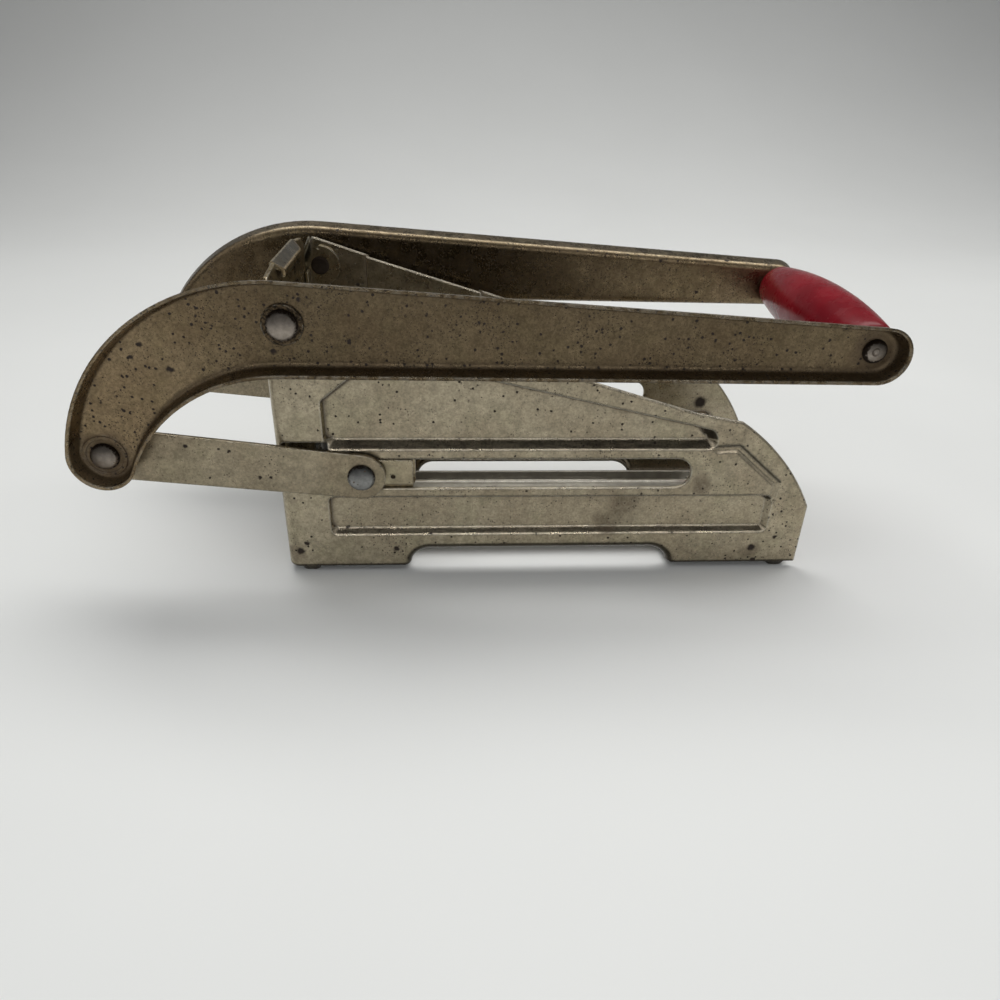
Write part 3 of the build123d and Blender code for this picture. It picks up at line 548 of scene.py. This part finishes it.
def bright_steel(name, colour, roughness, grain=(1, 1, 1), stain=0.4, scratch=0.02, side_painted_shade=1.0,
                 metal=METALNESS):
    """Plain steel with a drawn grain and light staining. Its upright sides may get a painted shade, darker
    than its floor.
    """
    finish = Finish(name)
    drawn = finish.cloud(0.5, 3, 0.6, place=finish.shifted((0, 0, 0), grain))
    # The upright sides get a painted shade where they mirror the dark inside.
    tint = finish.times(finish.step(finish.cloud(4, 3), 0.3, 0.7, 0.85, 1.08),
                        finish.step(finish.upward, 0.1, 0.45, side_painted_shade, 1.0))
    body = finish.vector("MULTIPLY", colour, tint)
    pits = finish.dots(1.6, 0.4, stain, finish.wobbled(0.8, 0.4))
    # Inside corners are darkened: dirt and painted shade.
    dirt_and_shade = finish.times(finish.corners(2.0), 0.7)
    body = finish.mix(dirt_and_shade, body, RUST_AND_SHADE_BROWN)
    body = finish.mix(pits, body, RUST)
    rounded = finish.soft_edges(0.35)
    body = finish.mix(finish.times(finish.edge_wear(rounded), 0.5), body, BARE_EDGE)
    rough = finish.step(drawn, 0.3, 0.7, roughness - 0.06, roughness + 0.1)
    rough = finish.math("ADD", rough, finish.times(finish.math("MAXIMUM", pits, dirt_and_shade), 0.35))
    normal = finish.relief(drawn, scratch, rounded)
    return finish.surface(body, rough, normal, metallic=metal)


# The pan's upright lip gets a painted shade.
pan_finish = bright_steel("bright_pan", (0.84, 0.80, 0.70), 0.17, grain=(0.1, 1, 1), stain=0.06,
                          scratch=0.003, side_painted_shade=0.2, metal=0.55)
dress(pan_finish, "floor_pan")
blade_finish = bright_steel("ground_blade", (0.56, 0.55, 0.52), 0.28, grain=(0.08, 1, 1), stain=0.15)
dress(blade_finish, "vertical_blades", "horizontal_blades")
print("dressed the blade cartridge")

# %% [markdown]
# ### Rivets, rod and shoes
#
# Each rivet head was struck into a low dome, and hands have rubbed it bright in the middle. The solid heads
# are flat with a rounded rim, so the dome is a bump: its height falls with the square of the distance from
# the rivet's axis. The same distance paints the dark ring of old grease where the head meets the sheet.

# %% Dress the rivets
BETWEEN_WALLS = (38.5 * MM, 37.5 * MM)


def rivet_head(name, colour, axis, radius, dome=0.22, ring=0.84):
    """Rubbed steel for a head round an axis given as (x, z) on the wall, with a dark ring at its rim.

    Its upper half is painted darker and its lower half paler, as painted shade and light. Everything
    nearer the middle, between the walls, is left dark."""
    finish = Finish(name)
    from_axis = finish.vector("SUBTRACT", finish.place, [v * MM for v in on_wall(*axis, 0)])
    share = finish.math("DIVIDE", finish.distance(finish.vector("MULTIPLY", from_axis, (1, 0, 1)), (0, 0, 0)),
                        radius * MM)
    # The upper half is painted darker and the lower half paler: painted shade and light.
    painted_paler_below = finish.step(finish.part(from_axis, "Z"), 0.9 * radius * MM, -0.5 * radius * MM, 0.22, 1.35)
    tint = finish.times(finish.step(finish.cloud(1.6, 4, 0.65), 0.3, 0.7, 0.82, 1.12), painted_paler_below)
    body = finish.vector("MULTIPLY", colour, tint)
    uneven = finish.math("ADD", share, finish.step(finish.cloud(1.2, 3, 0.7), 0.3, 0.7, -0.10, 0.10))
    grease_and_inner_dark = finish.step(uneven, ring, ring + 0.14)
    # Everything nearer the middle, between the walls, is made dark.
    grease_and_inner_dark = finish.math("MAXIMUM", grease_and_inner_dark, finish.step(finish.across, *BETWEEN_WALLS, 0.0, 0.9))
    pits = finish.dots(1.3, 0.32, 0.12, finish.wobbled(0.8, 0.3))
    body = finish.mix(finish.times(grease_and_inner_dark, 0.9), body, RUST)
    body = finish.mix(finish.times(pits, 0.8), body, RUST_AND_SHADE_BROWN)
    rough = finish.math("ADD", finish.step(finish.cloud(1.5, 4), 0.3, 0.7, 0.42, 0.56),
                        finish.times(grease_and_inner_dark, 0.4))
    crown = finish.math("SUBTRACT", 1.0, finish.times(share, share))
    domed = finish.relief(crown, dome * radius, finish.soft_edges(0.4))
    scratched = finish.relief(finish.cloud(0.5, 3, 0.6), 0.012, domed)
    return finish.surface(body, rough, scratched, metallic=0.92)


HEAD_GREY, HEAD_BLUE = (0.27, 0.235, 0.20), (0.27, 0.27, 0.26)
SLIDE = (28.2, 37.85)
heads = {"pivot_rivet": rivet_head("pivot_head", HEAD_GREY, PIVOT, 4.8),
         "crank_rivet": rivet_head("crank_head", HEAD_GREY, CRANK, 4.5),
         "link_rivet": rivet_head("link_head", HEAD_BLUE, SLIDE, 4.6, dome=0.3, ring=0.88)}
plain_steel = bright_steel("rubbed_steel", (0.40, 0.36, 0.33), 0.30, stain=0.12)
washer_finish = plate("rusty_washer", tone=(0.15, 0.125, 0.105), grain=0.8, pits=0.5, spots=0.5, grime_and_shade=1.0)
shoe_finish = plate("worn_shoe", tone=(0.9, 0.89, 0.86), grain=0.08, pits=0.04, spots=0.03, grime_and_shade=0.5)
for side in ("left", "right"):
    for piece, finish in heads.items():
        dress(finish, side + "_" + piece)
    dress(plain_steel, side + "_pivot_spacer", side + "_slide_rivet")
    dress(washer_finish, side + "_pivot_washer")
    dress(shoe_finish, side + "_slide_shoe")
dress(rivet_head("rod_head", HEAD_GREY, ROD, 3.9, dome=0.2, ring=0.7), "grip_rod")
dress(plain_steel, "pusher_rivets")
print("dressed the rivets, rod, washers and shoes")

# %% [markdown]
# ### Cast pusher block
#
# The studded block is die cast, so it has no plating to wear: it is a dull, slightly grainy grey with
# dried starch in its corners.

# %% Dress the pusher block
PALE_CAST, DULL_CAST = (0.40, 0.395, 0.37, 1), (0.27, 0.26, 0.235, 1)
DRIED_STARCH = (0.12, 0.10, 0.07, 1)
CAST_PIT = (0.07, 0.055, 0.04, 1)
CAST_EDGE = (0.6, 0.59, 0.56, 1)


def cast_metal(name):
    finish = Finish(name)
    grain = finish.cloud(0.9, 4, 0.65)
    body = finish.mix(finish.step(finish.cloud(12, 4), 0.35, 0.65), PALE_CAST, DULL_CAST)
    pits = finish.dots(2.2, 0.5, 0.3, finish.wobbled(1.0, 0.5))
    body = finish.mix(finish.times(finish.corners(3.5), 0.6), body, DRIED_STARCH)
    body = finish.mix(finish.times(pits, 0.7), body, CAST_PIT)
    rounded = finish.soft_edges(0.6)
    body = finish.mix(finish.times(finish.edge_wear(rounded), 0.6), body, CAST_EDGE)
    rough = finish.step(grain, 0.3, 0.7, 0.42, 0.6)
    return finish.surface(body, rough, finish.relief(grain, 0.08, rounded), metallic=0.85)


dress(cast_metal("cast_block"), "pusher_block")
print("dressed the pusher block")

# %% [markdown]
# ## The wooden grip
#
# The grip is a barrel of turned wood under thick red lacquer. A spun profile would do, but the lathe's own
# way is easy to follow: start with a ring at one end, and extrude and resize it, ring by ring, along the
# barrel's curve.

# %% Turn the grip
GRIP_AXIS = Vector(on_wall(*ROD, 0)) * MM
GRIP_HALF = 41.2 * MM
GRIP_THICK = 11.5 * MM
SHOULDER_AT, SHOULDER_R = 37.0 * MM, 8.6 * MM
END_ROUND = 2.6 * MM
RINGS = 28
curve_r = (SHOULDER_AT ** 2 + (GRIP_THICK - SHOULDER_R) ** 2) / (2 * (GRIP_THICK - SHOULDER_R))


def barrel_radius(y):
    """The grip's radius at a distance along its length, with its two ends rounded over."""
    radius = GRIP_THICK - (curve_r - math.sqrt(curve_r ** 2 - y ** 2))
    into_end = abs(y) - (GRIP_HALF - END_ROUND)
    if into_end > 0:
        radius -= END_ROUND - math.sqrt(max(END_ROUND ** 2 - into_end ** 2, 0))
    return radius


stations = [GRIP_HALF * math.sin(math.pi / 2 * (2 * i / RINGS - 1)) for i in range(RINGS + 1)]
bpy.ops.object.select_all(action="DESELECT")
start = GRIP_AXIS + Vector((0, stations[0], 0))
bpy.ops.mesh.primitive_circle_add(vertices=72, radius=barrel_radius(stations[0]), location=start,
                                  rotation=(math.pi / 2, 0, 0), fill_type="NGON")
grip = bpy.context.object
grip.name = "turned_grip"
bpy.ops.object.transform_apply(location=True, rotation=True)
bpy.ops.object.mode_set(mode="EDIT")
bpy.ops.mesh.select_all(action="SELECT")
for before, after in zip(stations, stations[1:]):
    ratio = barrel_radius(after) / barrel_radius(before)
    centre = GRIP_AXIS + Vector((0, after, 0))
    bpy.ops.mesh.extrude_region_move(TRANSFORM_OT_translate={"value": (0, after - before, 0)})
    bpy.ops.transform.resize(value=(ratio, 1, ratio), center_override=centre)
bpy.ops.mesh.select_all(action="SELECT")
bpy.ops.mesh.normals_make_consistent(inside=False)
bpy.ops.object.mode_set(mode="OBJECT")
bpy.ops.object.shade_smooth_by_angle(angle=math.radians(40))
bpy.ops.object.origin_set(type="ORIGIN_CURSOR")
print("grip vertices:", len(grip.data.vertices))

# %% [markdown]
# Lacquer is a deep colour with a smooth skin, so the red is dark and the surface is low in roughness. A clear
# coat on top would mirror more of the room, and the red would look chalky. The lacquer has thinned where the
# thumb rests, and shows pale primer there, which is also a painted reflection of the pale table on the lower
# front of the grip.

# %% Lacquer the grip
BRIGHT_RED, DEEP_RED = (0.23, 0.006, 0.014, 1), (0.17, 0.003, 0.009, 1)
PRIMER_AND_REFLECTION, PALE_SPECK = (0.36, 0.17, 0.17, 1), (0.40, 0.16, 0.15, 1)


def lacquer(name):
    finish = Finish(name)
    body = finish.mix(finish.step(finish.cloud(14, 3), 0.35, 0.65), BRIGHT_RED, DEEP_RED)
    specks = finish.dots(4.5, 0.22, 0.15, finish.wobbled(1.0, 0.3))
    # A pale patch on the lower front: worn lacquer showing primer, and a painted reflection of the pale
    # table.
    thumb = (GRIP_AXIS.x / MM - 10, -24.0, GRIP_AXIS.z / MM - 3.0)
    rubbed_and_reflection = finish.blots([(thumb, 7.0)], finish.wobbled(5, 3.0))
    rubbed_and_reflection = finish.times(rubbed_and_reflection, finish.step(finish.cloud(1.6, 5, 0.7), 0.42, 0.62))
    body = finish.mix(finish.times(rubbed_and_reflection, 0.45), body, PRIMER_AND_REFLECTION)
    body = finish.mix(finish.times(specks, 0.6), body, PALE_SPECK)
    rough = finish.step(finish.cloud(6, 4), 0.3, 0.7, 0.22, 0.34)
    rough = finish.math("ADD", rough, finish.times(rubbed_and_reflection, 0.25))
    normal = finish.relief(finish.cloud(9, 3), 0.03)
    return finish.surface(body, rough, normal, specular_ior_level=0.25)


grip.data.materials.append(lacquer("red_lacquer"))
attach(grip, "lever")
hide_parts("grip")
print("the grip rides on the lever")

# %% [markdown]
# ## The table's surface
#
# A matt pale board, with a painted shade that makes it greyer far from the cutter, where the lamps' light
# falls off. Its faint unevenness keeps the shadow from looking printed.

# %% Dress the table
board = Finish("pale_board")
GREY_PAPER, WHITE_PAPER, PAINTED_FALLOFF_GREY = (0.775, 0.785, 0.775, 1), (0.80, 0.81, 0.80, 1), (0.30, 0.303, 0.30, 1)
PAINTED_LIGHT_CENTRE = (420, -100, 0)
PAINTED_BRIGHT_TO, PAINTED_GREY_FROM = 0.5, 2.1
paper = board.mix(board.step(board.cloud(240, 3), 0.3, 0.7), GREY_PAPER, WHITE_PAPER)
# The painted shade: greyer with distance from the centre of the painted light.
away = board.distance(board.place, PAINTED_LIGHT_CENTRE)
paper = board.mix(board.step(away, PAINTED_BRIGHT_TO, PAINTED_GREY_FROM), paper, PAINTED_FALLOFF_GREY)
floor.data.materials.append(board.surface(paper, 0.55, board.relief(board.cloud(2.5, 3), 0.02)))
print("dressed the table")

# %% List the pieces left undressed
print("undressed:", [name for name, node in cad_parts.items() if not node.data.materials])
